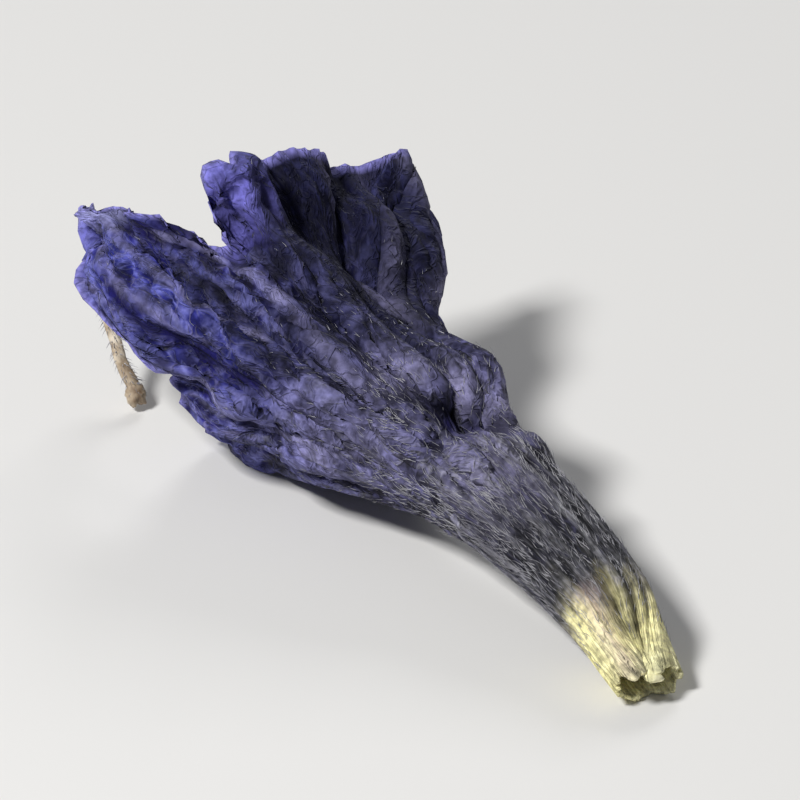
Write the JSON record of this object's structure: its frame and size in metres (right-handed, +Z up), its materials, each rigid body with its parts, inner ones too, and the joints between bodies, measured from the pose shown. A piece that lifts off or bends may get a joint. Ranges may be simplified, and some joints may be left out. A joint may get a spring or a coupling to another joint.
{
  "type": "dried borage flower",
  "caption": "Single dried funnel-shaped blue flower with a torn narrow tube, shrivelled lobes and a loose style, lying on its side.",
  "frame": {"origin": "on the table, under the middle of the lying flower's box", "axes": "+X from the torn end of the tube to the mouth, +Z up from the table"},
  "size_m": [0.0274, 0.011, 0.0098],
  "materials": {
    "petal": "dry, wrinkled and softly hairy",
    "thread": "dry and finely hairy"
  },
  "bodies": {
    "root": {"corolla": "petal", "style": "thread"}
  },
  "joints": []
}
